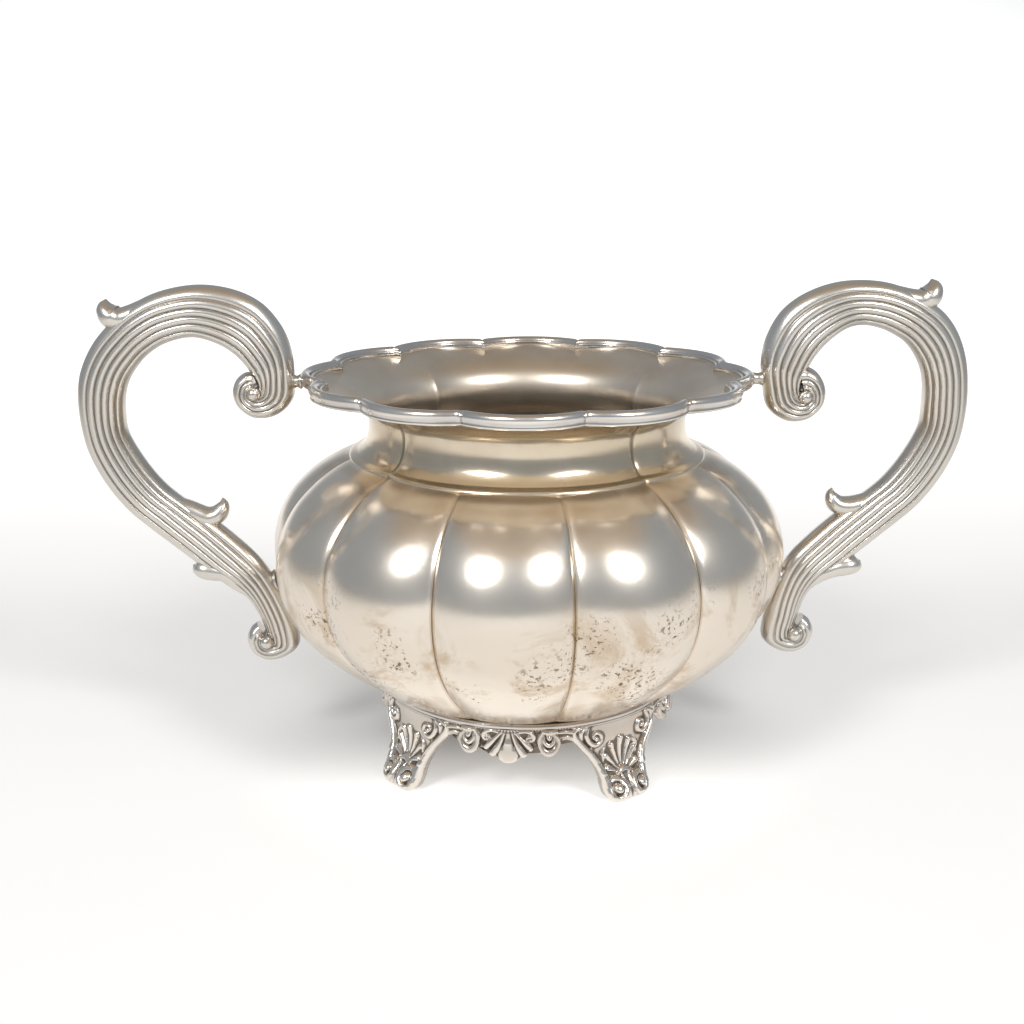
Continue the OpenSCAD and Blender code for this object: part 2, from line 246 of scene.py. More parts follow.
def build_neck():
    count = 720
    phi = np.arange(count) * 2 * math.pi / count
    rim_phi = phi - rim_turn
    edge = rim_at(rim_phi) - border_w
    w = waist_r
    # the foot of the collar is a thin rolled lip on the shoulder of the belly
    lip = smooth_line([[72.25, w + 4.3, 0, 1], [72.5, w + 4.55, 0, 1], [72.85, w + 4.35, 0, 1], [73.1, w + 3.9, 0, 1],
                       [73.3, w + 3.35, 0, 1], [73.55, w + 2.75, 0, 1]], 3)
    wall = smooth_line([[73.55, w + 2.75, 0, 1], [74.6, w + 1.6, 0, 1], [76.1, w + 0.65, 0, 1], [78.2, w + 0.1, 0, 1],
                        [80.4, w, 0, 1], [82.4, w + 0.35, 0, 0.85], [84.0, w + 1.5, 0, 0.6], [85.5, w + 3.9, 0, 0.3],
                        [86.9, w + 7.6, 0, 0.1], [flange_z - 1.1, w + 11.4, 0, 0]], 6)[1:]
    inner = smooth_line([[flange_z, w + 11.6, 0, 0], [flange_z - 0.75, w + 9.2, 0, 0.05], [87.4, w + 6.2, 0, 0.2],
                         [86.0, w + 3.2, 0, 0.4], [84.2, w + 0.8, 0, 0.7], [82.0, w - 0.5, 0, 0.9], [79.6, w - 0.9, 0, 1],
                         [77.4, w - 0.7, 0, 1], [75.6, w - 0.1, 0, 1], [74.2, w + 0.9, 0, 1], [73.0, w + 2.5, 0, 1],
                         [seam_z - 0.2, w + 3.3, 0, 1]], 5)
    panel = crease(phi - body_turn, PANEL)[None]

    def surface(line, groove):
        z, r, p = line[:, 0][:, None], line[:, 1][:, None], line[:, 3][:, None]
        r = r * (1 - p * 0.04 * panel ** 4)
        away = (1 - panel) * PANEL / 2 * r
        r = r - groove * p * 0.2 * np.exp(-(away / 0.6) ** 2)
        return r + 0 * phi[None], z + 0 * phi[None]

    r1, z1 = surface(np.vstack([lip, wall]), 1)
    r1 = r1 + wave(phi[None], z1, 9, 0.03) * np.clip((z1 - 74) / 3, 0, 1)
    r2, z2 = surface(inner, 0.4)
    # between the collar and the border, the flange runs out to the scalloped edge
    t = np.linspace(0, 1, 9)[1:, None]
    start, end = r1[-1][None], edge[None] + 0.25
    r_under = start + (end - start) * t
    z_under = z1[-1][None] + (flange_z - 0.85 - z1[-1][None]) * t ** 1.3
    r_over = end + (r2[0][None] - end) * t
    z_over = flange_z + 0.3 * (1 - t) ** 1.5 + (z2[0][None] - flange_z) * t
    rows_r = np.vstack([r1, r_under, np.repeat(end, 1, 0), r_over[:-1], r2])
    rows_z = np.vstack([z1, z_under, np.full((1, count), flange_z + 0.3), z_over[:-1], z2])
    v = polar(rows_r, phi[None], rows_z)
    n = v.shape[0]
    return piece("neck_collar", v.reshape(-1, 3), grid_faces(n, count, wrap_rows=True), (), "neck", 14)


# ---------------------------------------------------------------- scalloped border
def arc(cx, cz, r, start, end, n):
    a = np.radians(np.linspace(start, end, n))
    return [[cx + r * math.cos(t), cz + r * math.sin(t)] for t in a]


def build_rim():
    # section, going round from the inner edge underneath and back over the top
    section = ([[0, -1.0], [0.7, -1.2]] + arc(2.42, -0.82, 0.42, 215, 400, 9) + arc(2.02, 0.72, 1.16, -38, 160, 22)
               + [[0.96, 0.72]] + arc(0.5, 0.62, 0.44, 20, 200, 11) + [[0.02, 0.2]])
    section = np.array(section)
    t = np.linspace(-1, 1, 44, endpoint=False)
    u = np.sign(t) * (1 - (1 - np.abs(t)) ** 2.4)
    phi = (np.arange(12)[:, None] * STEP + u[None] * STEP / 2).ravel()
    c = crease(phi, STEP)
    d, h = section[:, 0][:, None], section[:, 1][:, None]
    edge = rim_at(phi)[None] - border_w
    r = edge + d
    # a cast mitre at every cusp: the mouldings pinch in and dip by a hair
    pinch = np.exp(-((1 - c[None]) / 0.035) ** 2)
    z = flange_z + h - 0.22 * pinch * (h > -0.3)
    v = polar(r - 0.15 * pinch * (d > 1), phi[None] + rim_turn, z)
    return piece("scalloped_border", v.reshape(-1, 3), grid_faces(len(section), len(phi), wrap_rows=True, flip=False), (),
                 "rim_border", 6)


def build_ring():
    z1 = ring_high[2]
    z0 = ring_low[2]
    section = ([[band_r - 1.4, z0 + 0.2], [band_r - 1.2, z0]] + [[band_r - 0.2, z0], [band_r, z0 + 0.25]]
               + [[band_r, z1 - 1.9]] + [[band_r + 0.12, z1 - 1.6], [band_r + 0.35, z1 - 1.42]]
               + arc(band_r + 0.78, z1 - 0.7, 0.7, -115, 90, 16)
               + [[band_r - 0.4, z1], [28.4, z1], [28.4, z1 - 1.2], [band_r - 1.4, z1 - 1.2]])
    section = np.array(section)
    count = 360
    phi = np.arange(count) * 2 * math.pi / count
    r = section[:, 0][:, None] + 0 * phi[None] + 0.04 * np.sin(5 * phi + 1) + 0.03 * np.sin(11 * phi)
    v = polar(r, phi[None], section[:, 1][:, None] + 0 * phi[None])
    return piece("base_ring_beaded", v.reshape(-1, 3), grid_faces(len(section), count, wrap_rows=True), (),
                 "base_ring", 5)


# ---------------------------------------------------------------- reeded scroll handles
HANDLE_H = 4.3
BEND = 10.0
LIFT = 0.9
ARCH = np.array([76.0, 96.0])
upper_eye = np.array([61.2, 86.5])
lower_eye = np.array([62.1, 27.1])


def bent(x, z, bend):
    """The upper scroll of a handle turned about the middle of its arch by a number of degrees."""
    t = np.clip((z - 74 + (ARCH[0] - x) / 2) / 18, 0, 1)
    a = np.radians(bend) * t * t * (3 - 2 * t)
    dx, dz = x - ARCH[0], z - ARCH[1]
    rise = LIFT * t * t * (3 - 2 * t) * (bend > 0)
    return ARCH[0] + dx * np.cos(a) - dz * np.sin(a), ARCH[1] + dx * np.sin(a) + dz * np.cos(a) + rise


def turn_stations(eye, turn, inner_first):
    rows = []
    for angle, r, thick, kind in turn:
        a = math.radians(angle)
        hub = [eye[0] + 0.35 * math.cos(a), eye[1] + 0.35 * math.sin(a)]
        rimward = [eye[0] + r * math.cos(a), eye[1] + r * math.sin(a)]
        rows.append((hub + rimward if inner_first else rimward + hub) + [thick, kind])
    return rows


# place of the grooves across the strap, from the side by the hole to the outside
REEDS_STRAP = [0, 0.15, 0.295, 0.44, 0.59, 0.765, 1]
REEDS_UPPER = [0, 0.03, 0.08, 0.17, 0.37, 0.57, 1]
REEDS_LOWER = [0, 0.44, 0.63, 0.83, 0.92, 0.97, 1]

# [inner x, inner z, outer x, outer z, share of thickness, kind: -1 upper scroll, 0 strap, 1 lower scroll]
UPPER_TURN = {-1: [[84, 4.5, 0.62, -1], [62, 4.9, 0.74, -1], [30, 5.0, 0.8, -1], [-5, 5.05, 0.84, -1],
                   [-45, 5.15, 0.87, -0.9], [-90, 5.9, 0.9, -0.75], [-135, 7.2, 0.92, -0.5], [-172, 8.7, 0.95, -0.25]],
              1: [[96, 6.5, 0.72, -1], [78, 6.6, 0.82, -1], [55, 6.1, 0.87, -1], [28, 5.4, 0.88, -1], [-5, 4.95, 0.9, -1],
                  [-45, 5.1, 0.9, -0.9], [-90, 5.8, 0.92, -0.75], [-135, 7.1, 0.94, -0.5], [-172, 8.7, 0.96, -0.25]]}
strap_and_lower = (
    [[60.6, 87.2, 52.2, 90.6, 0.95, -0.1], [60.9, 88.7, 52.7, 96.2, 1, 0], [62.1, 91.1, 54.8, 101.6, 1, 0],
       [65, 94.7, 59, 106.6, 1, 0], [69, 97.4, 65.2, 109.6, 1, 0], [74.4, 98.9, 73, 110.6, 1, 0],
       [80.2, 97.7, 81.4, 109.1, 1, 0], [84.4, 95.2, 88.2, 105.8, 1, 0], [87.2, 92.2, 93.6, 101.2, 1, 0],
       [89.1, 89.2, 97.2, 96.8, 1, 0], [90.1, 86, 99.7, 91.6, 1, 0], [90.4, 82.4, 100.7, 86.2, 1, 0],
       [90.2, 78.2, 100.5, 79.6, 1, 0], [88.7, 74.4, 99.2, 73, 1, 0], [85.6, 69.2, 96, 66, 1, 0],
       [82.2, 65, 91.4, 59.6, 0.97, 0], [78.6, 61.9, 86, 54.6, 0.94, 0], [74.6, 58.9, 81.2, 50.6, 0.92, 0.05],
       [71.0, 56.2, 77, 47, 0.9, 0.1], [67.8, 53.4, 74.2, 44.6, 0.88, 0.15], [64.4, 50.2, 71.2, 42.4, 0.86, 0.2],
       [61, 46.6, 67.8, 40, 0.85, 0.28], [59.2, 42.6, 65.4, 37, 0.84, 0.36], [57.4, 38.6, 64, 34, 0.84, 0.46],
       [55.8, 34, 62.6, 29.6, 0.84, 0.6]]
    + turn_stations(lower_eye, [[186, 7.4, 0.84, 0.75], [225, 5.8, 0.84, 0.88], [270, 4.9, 0.82, 1], [315, 4.7, 0.8, 1],
                                [360, 4.8, 0.78, 1], [392, 4.9, 0.72, 1], [420, 4.8, 0.58, 1]], False))


def half_tube(path, n=8, around=11, deep=1.15):
    """Half of a swelling tube in the handle's plane, from the middle plane outwards. path: [x, z, radius]."""
    line = smooth_line(path, n)
    tangent = np.gradient(line[:, :2], axis=0)
    tangent /= np.linalg.norm(tangent, axis=1)[:, None]
    side = np.stack([tangent[:, 1], -tangent[:, 0]], -1)
    r = np.maximum(line[:, 2], 0.04)
    a = np.linspace(0, math.pi, around)
    x = line[:, 0][:, None] + side[:, 0][:, None] * r[:, None] * np.cos(a)
    z = line[:, 1][:, None] + side[:, 1][:, None] * r[:, None] * np.cos(a)
    return np.stack([x, r[:, None] * np.sin(a) * deep, z], -1)


def closed_half(grid):
    """Points and faces of a lofted half, with its flat side on the middle plane and its two ends closed."""
    rows, cols = grid.shape[:2]
    v = grid.reshape(-1, 3)
    quads = grid_faces(rows, cols, wrap_cols=False, flip=True)
    flat = np.concatenate([grid[:, 0], grid[:, -1]])
    flat[:, 1] = 0
    base = len(v)
    i = np.arange(rows - 1)
    side = np.stack([base + i, base + i + 1, base + rows + i + 1, base + rows + i], -1)
    v = np.vstack([v, flat])
    caps = []
    for row, order in ((0, 1), (rows - 1, -1)):
        start = len(v)
        ring = grid[row]
        v = np.vstack([v, ring, ring.mean(0)[None]])
        j = np.arange(cols)
        k = (j + 1) % cols
        tri = np.stack([start + j, start + k, np.full(cols, start + cols)], -1)
        caps.append(tri[:, ::order])
    return v, np.concatenate([quads, side]), np.concatenate(caps)


def build_handle(side, face, name, node):
    """side 1 is the right handle, face -1 the half towards the camera."""
    bend = BEND if side > 0 else 0.0
    # the lower scrolls were soldered on a little differently too
    shift = np.array([1.0, 0.0, 0.9]) if side > 0 else np.array([-1.2, 0.0, 0.5])

    def placed(p):
        x, z = bent(p[..., 0], p[..., 2], bend)
        return np.stack([x, p[..., 1], z], -1) + shift * np.clip((46 - z) / 14, 0, 1)[..., None]

    line = smooth_line(turn_stations(upper_eye, UPPER_TURN[side], True) + strap_and_lower, 7)
    per = 10
    kinds = line[:, 5]
    if side > 0:
        line[:, 1] += 1.3 * np.exp(-((line[:, 0] - 75) / 8) ** 2) * (line[:, 1] > 92)
    strap_rows = (kinds > 0.03) & (kinds < 0.65)
    for _ in range(30):
        line[1:-1, :4] = np.where(strap_rows[1:-1, None], 0.5 * line[1:-1, :4] + 0.25 * (line[:-2, :4] + line[2:, :4]),
                                  line[1:-1, :4])
    strap, upper, lower = (np.array(b) for b in (REEDS_STRAP, REEDS_UPPER, REEDS_LOWER))
    grid = []
    for s, kind in zip(line, kinds):
        k = min(abs(kind), 1) ** 0.8
        b = strap * (1 - k) + (upper if kind < 0 else lower) * k
        inner, outer = s[:2], s[2:4]
        width = np.linalg.norm(outer - inner)
        t, cut = [], []
        for i in range(6):
            q = np.linspace(-1, 1, per, endpoint=i == 5)
            q = np.sign(q) * np.abs(q) ** 0.8
            t.append(b[i] + (b[i + 1] - b[i]) * (q + 1) / 2)
            reed = (b[i + 1] - b[i]) * width
            depth = min(0.85, 0.42 * reed)
            edge = (i == 0) * (q < 0) + (i == 5) * (q > 0)
            cut.append(np.where(edge > 0, 0, depth * (1 - np.sqrt(np.maximum(0, 1 - 0.985 * q * q)))))
        t, cut = np.concatenate(t), np.concatenate(cut)
        envelope = np.maximum(0, 1 - np.abs(2 * t - 1) ** 2.3) ** (1 / 2.3)
        y = np.maximum(0, HANDLE_H * s[4] * envelope - cut * np.minimum(1, envelope * 1.6))
        y[0] = y[-1] = 0
        at = inner + (outer - inner) * t[:, None]
        grid.append(np.stack([at[:, 0], y, at[:, 1]], -1))
    parts = [closed_half(placed(np.array(grid)))]
    # the leaf buds that grow out of the reeds
    thumb = [[79.5, 107.0, 1.6], [84.0, 105.5, 2.2], [87.6, 104.0, 2.3], [90.0, 103.2, 2.5], [91.9, 103.6, 2.75],
             [92.9, 104.9, 2.45], [93.2, 106.2, 1.7], [93.0, 107.5, 0.1]]
    inner_leaf = [[84.0, 62.4, 1.1], [80.8, 60.8, 1.7], [77.6, 59.3, 2.1], [74.8, 58.6, 2.3], [72.6, 58.9, 2.2],
                  [71.3, 60.1, 1.9], [70.7, 61.6, 1.25], [70.8, 63.0, 0.1]]
    outer_leaf = [[64.0, 38.0, 1.4], [68.0, 41.5, 2.0], [71.4, 43.2, 2.3], [74.0, 44.0, 2.6], [76.2, 44.4, 2.5],
                  [77.8, 44.8, 1.7], [78.5, 45.2, 0.1]]
    if side < 0:
        for p in inner_leaf[3:]:
            p[0] -= 1.0
            p[1] -= 1.1
        for p in outer_leaf[2:]:
            p[0] -= 1.0
            p[1] += 0.6
    for path, deep in ((thumb, 1.35), (inner_leaf, 1.3), (outer_leaf, 1.3)):
        parts.append(closed_half(placed(half_tube(path, deep=deep))))
    # balls in the eyes of the scrolls, each with a collar
    for eye, r in ((upper_eye, 1.55), (lower_eye, 1.6)):
        top = 4.55
        profile = [[0.02, top]] + [[r * math.sin(a), top - r + r * math.cos(a)] for a in np.linspace(0.25, 1.9, 9)]
        profile += [[r * 0.97, top - r - 1.1], [r * 0.97, 0]]
        p = np.array(profile)
        a = np.linspace(0, 2 * math.pi, 28, endpoint=False)
        x = eye[0] + p[:, 0][:, None] * np.cos(a)
        z = eye[1] + p[:, 0][:, None] * np.sin(a)
        ball = placed(np.stack([x, p[:, 1][:, None] + 0 * a, z], -1))
        v = ball.reshape(-1, 3)
        start = (len(p) - 1) * 28
        cap = np.stack([np.full(26, start), start + np.arange(1, 27), start + np.arange(2, 28)], -1)
        parts.append((v, grid_faces(len(p), 28, flip=True), cap[:, ::-1]))
    verts, quads, tris, base = [], [], [], 0
    for v, q, t in parts:
        v = v * [side, face, 1]
        q, t = outward(v, q, t)
        verts.append(v)
        quads.append(q + base)
        tris.append(np.array(t) + base)
        base += len(v)
    return piece(name, np.vstack(verts), np.concatenate(quads), np.concatenate(tris), node, 22, turn=False)


def lathe(name, start, direction, profile, node, squash=1.0, steps=3):
    """A small turned piece along a direction. profile: [distance, radius]."""
    d = np.array(direction, float)
    d /= np.linalg.norm(d)
    across = np.array([0, 1.0, 0])
    up = np.cross(d, across)
    p = smooth_line(profile, 4)
    a = np.linspace(0, 2 * math.pi, 40, endpoint=False)
    v = (np.array(start)[None, None] + d * p[:, 0][:, None, None]
         + p[:, 1][:, None, None] * (across * np.cos(a)[:, None] + up * squash * np.sin(a)[:, None])[None])
    n = len(p)
    v = v.reshape(-1, 3)
    j = np.arange(1, 39)
    caps = np.concatenate([np.stack([0 * j, j + 1, j], -1), np.stack([0 * j, j, j + 1], -1) + (n - 1) * 40])
    return piece(name, v, grid_faces(n, 40), caps, node, steps)


def build_joints():
    made = []
    for side, word in ((-1, "left"), (1, "right")):
        low, high = span("handle_%s_upper_lug" % word)
        x0, x1 = (low[0], high[0]) if side > 0 else (high[0], low[0])
        reach = abs(x1 - x0)
        z = (low[2] + high[2]) / 2
        made.append(lathe("rim_lug_" + word, [x0, 0, z], [side, 0, 0],
                          [[0, 1.3], [0.4, 1.75], [1.0, 1.45], [reach * 0.6, 1.3], [reach - 0.3, 1.6], [reach + 0.25, 2.0]],
                          "handle_%s_upper_lug" % word, 1.0))
        low, high = span("handle_%s_lower_pad" % word)
        z = (low[2] + high[2]) / 2
        x = (low[0] + high[0]) / 2
        tilt = math.radians(14)
        d = np.array([side * math.cos(tilt), 0, -math.sin(tilt)])
        made.append(lathe("belly_pad_" + word, np.array([x, 0, z]) - d * 1.0, d,
                          [[0, 2.3], [0.2, 2.75], [0.7, 2.6], [1.3, 2.2], [1.8, 2.3], [2.1, 2.6]],
                          "handle_%s_lower_pad" % word, 1.0))
    return made


# ---------------------------------------------------------------- cast feet and aprons
def tube_relief(u, z, tubes):
    """Height of cast ribs over a plate. Each rib is a path of [u, z, radius] and rises as a round bead."""
    h = np.zeros_like(u)
    for path, lift in tubes:
        line = smooth_line(path, 22)
        for k in range(len(line)):
            cu, cz, r = line[k]
            r = max(r, 0.05)
            d2 = (u - cu) ** 2 + (z - cz) ** 2
            near = d2 < r * r
            if near.any():
                rise = np.zeros_like(h)
                rise[near] = lift * r + min(1, 0.95 / r) * np.sqrt(r * r - d2[near])
                h = np.maximum(h, rise)
    return h


def mirrored(tubes):
    return tubes + [([[-p[0], p[1], p[2]] for p in path], lift) for path, lift in tubes]


def fan(root, angles, lengths, start, end):
    rays = []
    for a, reach in zip(angles, lengths):
        s, c = math.sin(math.radians(a)), math.cos(math.radians(a))
        rays.append(([[root[0] + s * 0.9, root[1] + c * 0.9, start],
                      [root[0] + s * reach * 0.55, root[1] + c * reach * 0.55, (start + end) / 2],
                      [root[0] + s * (reach - end), root[1] + c * (reach - end), end]], 0.15))
    return rays


def soften(h, times):
    for _ in range(times):
        p = np.pad(h, 1, mode="edge")
        h = 0.4 * h + 0.15 * (p[:-2, 1:-1] + p[2:, 1:-1] + p[1:-1, :-2] + p[1:-1, 2:])
    return h


def column(rows, z):
    """Values at the heights z, by straight lines between rows of [height, value, ...] listed from the top down."""
    a = np.array(rows)[::-1]
    return [np.interp(z, a[:, 0], a[:, k]) for k in range(1, a.shape[1])]


def cast_plate(name, u, z, front_r, back_r, at, node):
    """Closed plate from a grid of front points (rows go down, columns to the right) and the radius of its back."""
    rows, cols = u.shape
    phi_front = at + u / band_r
    front = polar(front_r, phi_front, z)
    pick = np.linspace(cols - 1, 0, 9).round().astype(int)
    back = polar(back_r[:, pick], at + u[:, pick] / band_r, z[:, pick])
    loop = np.concatenate([front, back], 1)
    n = loop.shape[1]
    v = loop.reshape(-1, 3)
    ends = []
    for row, order in ((0, 1), (rows - 1, -1)):
        start = len(v)
        ring = loop[row]
        v = np.vstack([v, ring])
        # fill between the front edge and the back edge of the end
        back_of = cols + np.searchsorted(-pick, -np.arange(cols)).clip(0, 8)
        for j in range(cols - 1):
            a, b, c, d = j, j + 1, back_of[j + 1], back_of[j]
            tri = [[a, b, c]] if c == d else [[a, b, c], [a, c, d]]
            ends += [[start + q for q in (t if order > 0 else t[::-1])] for t in tri]
    return piece(name, v, grid_faces(rows, n, flip=True), np.array(ends), node, 45)


def foot_shape():
    rows, cols = 170, 131
    zs = 17.9 * (1 - np.linspace(0, 1, rows))
    base, half, back = column([[18, 33.0, 11.8, 32.2], [16.6, 33.1, 12.0, 32.2], [15.2, 33.2, 11.8, 32.2],
                               [14, 33.2, 11.2, 32.2], [12.5, 33.2, 9.9, 32.1], [11, 33.2, 8.6, 31.9], [9, 33.4, 7.3, 32.1],
                               [7.4, 33.8, 6.4, 32.4], [6, 34.6, 5.9, 33.0],
                               [4.8, 35.7, 5.6, 33.9], [3.6, 36.6, 5.6, 34.8], [2.4, 37.3, 5.5, 35.4], [1.4, 37.6, 5.2, 35.6],
                               [0.6, 37.5, 4.6, 35.4], [0, 36.9, 3.8, 35.0]], zs)
    s = np.linspace(-1, 1, cols)
    s = np.sign(s) * (1 - (1 - np.abs(s)) ** 1.15)
    u = half[:, None] * s[None]
    z = zs[:, None] + 0 * u
    ribs = mirrored([
        # the long rib down the side of the leg, which curls into the scroll of the toe
        ([[11.2, 16.2, 0.35], [10.4, 14.4, 0.6], [8.7, 12.0, 0.8], [6.9, 9.6, 0.85], [5.7, 7.2, 0.9], [5.0, 5.3, 0.9],
          [4.85, 3.4, 0.9], [4.4, 1.6, 0.85], [3.2, 0.75, 0.8], [1.8, 1.3, 0.78], [1.15, 2.9, 0.68], [1.8, 4.5, 0.6],
          [3.3, 4.9, 0.55], [4.25, 4.0, 0.5], [4.2, 2.8, 0.45], [3.5, 2.2, 0.4]], 0.55),
        ([[3.0, 3.2, 0.95], [3.05, 3.25, 0.95]], 0.95),
        # C-scroll at the shoulder
        ([[8.2, 17.0, 0.35], [8.7, 15.6, 0.55], [8.1, 14.0, 0.62], [6.8, 13.0, 0.62], [5.5, 13.4, 0.55], [5.1, 14.6, 0.46],
          [5.8, 15.6, 0.42], [6.9, 15.4, 0.36], [7.0, 14.6, 0.36]], 0.5),
        ([[6.35, 14.4, 0.6], [6.4, 14.45, 0.6]], 0.6),
        # acanthus leaves that fold over the shoulder
        ([[8.6, 17.4, 0.35], [9.9, 16.4, 0.6], [9.7, 14.7, 0.35]], 0.4),
        ([[10.0, 17.5, 0.35], [11.4, 16.7, 0.5], [11.3, 15.4, 0.3]], 0.35),
        ([[7.4, 13.0, 0.2], [7.6, 11.7, 0.42], [6.9, 10.4, 0.25]], 0.25),
        ([[3.9, 11.9, 0.2], [4.7, 10.6, 0.45], [4.6, 8.8, 0.3]], 0.2),
        # folds between the two scrolls of the toe
        ([[1.15, 6.0, 0.2], [0.75, 4.2, 0.34], [0.62, 2.4, 0.36], [0.62, 0.5, 0.36]], 0.9),
    ]) + fan([0, 5.2], [0, 20, -20, 41, -41, 63, -63], [8.6, 8.0, 8.0, 6.8, 6.8, 5.0, 5.0], 0.22, 0.72) + [
        ([[-1.9, 5.5, 0.35], [0, 6.3, 0.6], [1.9, 5.5, 0.35]], 0.6),
        ([[-11.6, 17.7, 0.3], [0, 17.7, 0.3], [11.6, 17.7, 0.3]], 0.2)]
    h = soften(0.95 * tube_relief(u, z, ribs), 2)
    toe = np.clip((6.5 - z) / 3, 0, 1)
    prow = -0.05 * u ** 2 * toe
    dish = -0.35 * np.clip(1 - (u / (0.75 * half[:, None])) ** 2, 0, 1) * np.clip((14 - z) / 3, 0, 1) * (1 - toe)
    gap = (half[:, None] - np.abs(u)) / 0.55
    rounding = -0.55 * (1 - np.sqrt(1 - np.clip(1 - gap, 0, 1) ** 2))
    front = base[:, None] + 0.35 + h + prow + dish + rounding
    return u, z, front, back[:, None] + prow * 0.8


def apron_shape():
    rows, cols = 70, 331
    reach = 14.2
    us = np.linspace(-reach, reach, cols)
    edge = np.array([[0, 9.95], [1.0, 10.0], [1.9, 10.4], [2.55, 11.3], [2.75, 11.75], [3.3, 11.45], [4.0, 11.8], [4.35, 12.8],
                     [4.9, 12.8], [5.45, 13.5], [5.75, 14.9], [6.05, 15.4], [6.3, 13.9], [6.9, 12.5], [7.7, 11.8], [8.6, 11.6],
                     [9.5, 11.8], [10.3, 12.5], [10.9, 13.7], [11.2, 14.4], [11.8, 14.8], [12.6, 14.85], [13.5, 14.5],
                     [14.2, 14.0]])
    low = np.interp(np.abs(us), edge[:, 0], edge[:, 1])
    t = np.linspace(0, 1, rows)
    t = 1 - (1 - t) ** 1.15
    u = us[None] + 0 * t[:, None]
    z = 17.9 + (low[None] - 17.9) * t[:, None]
    ribs = mirrored([
        ([[0.85, 17.1, 0.3], [1.5, 15.3, 0.5], [2.4, 13.6, 0.75], [3.25, 12.3, 0.85]], 0.45),
        ([[1.5, 17.2, 0.3], [2.7, 15.9, 0.5], [3.9, 14.6, 0.72], [4.7, 13.6, 0.75]], 0.4),
        ([[2.4, 17.3, 0.35], [3.7, 17.5, 0.45], [5.0, 17.0, 0.52], [5.4, 15.9, 0.52], [4.6, 15.3, 0.42], [4.0, 15.9, 0.34],
          [4.3, 16.5, 0.3]], 0.5),
        ([[4.55, 16.2, 0.42], [4.6, 16.25, 0.42]], 0.8),
        # the drop beside the shell, a leaf curled over on itself
        ([[7.2, 17.2, 0.4], [6.6, 15.9, 0.55], [6.8, 14.0, 0.75], [8.0, 12.6, 0.95], [9.6, 12.9, 0.9], [10.5, 14.4, 0.7],
          [10.4, 15.9, 0.5], [9.4, 16.7, 0.4]], 0.35),
        ([[7.5, 16.6, 0.3], [7.55, 15.2, 0.5], [8.5, 14.3, 0.62], [9.5, 14.9, 0.5], [9.7, 16.3, 0.3]], 0.75),
        ([[8.1, 17.0, 0.3], [8.6, 15.9, 0.5], [9.1, 16.8, 0.3]], 1.1),
        ([[7.4, 17.3, 0.45], [8.7, 17.2, 0.6], [10.2, 17.2, 0.45]], 0.5),
        ([[10.5, 16.9, 0.35], [12.1, 17.0, 0.5], [14.0, 16.6, 0.5]], 0.4),
        ([[11.2, 15.7, 0.25], [12.6, 15.8, 0.42], [14.0, 15.3, 0.42]], 0.35),
    ]) + [([[0, 17.2, 0.4], [0, 15.4, 0.75], [0, 13.6, 1.4], [0, 12.3, 2.2]], 0.12),
          ([[-reach, 17.75, 0.28], [0, 17.75, 0.28], [reach, 17.75, 0.28]], 0.3)]
    h = soften(0.95 * tube_relief(u, z, ribs), 2)
    below = (z - low[None]) / 0.5
    rounding = -0.5 * (1 - np.sqrt(1 - np.clip(1 - below, 0, 1) ** 2))
    swell = 0.45 * np.exp(-(u / 3.2) ** 2) + 0.3 * np.exp(-((np.abs(u) - 8.6) / 1.6) ** 2)
    front = band_r + 0.75 + h + rounding + swell
    return u, z, front, np.full_like(u, band_r - 0.75)


def build_feet():
    made = []
    u, z, front, back = foot_shape()
    for word, at in (("front_left", -45), ("front_right", 45), ("back_left", -135), ("back_right", 135)):
        made.append(cast_plate("scroll_foot_" + word, u, z, front, back, math.radians(at) + base_turn, "foot_" + word))
    u, z, front, back = apron_shape()
    for word, at in (("front", 0), ("right", 90), ("back", 180), ("left", -90)):
        made.append(cast_plate("shell_apron_" + word, u, z, front, back, math.radians(at) + base_turn, "apron_" + word))
    return made


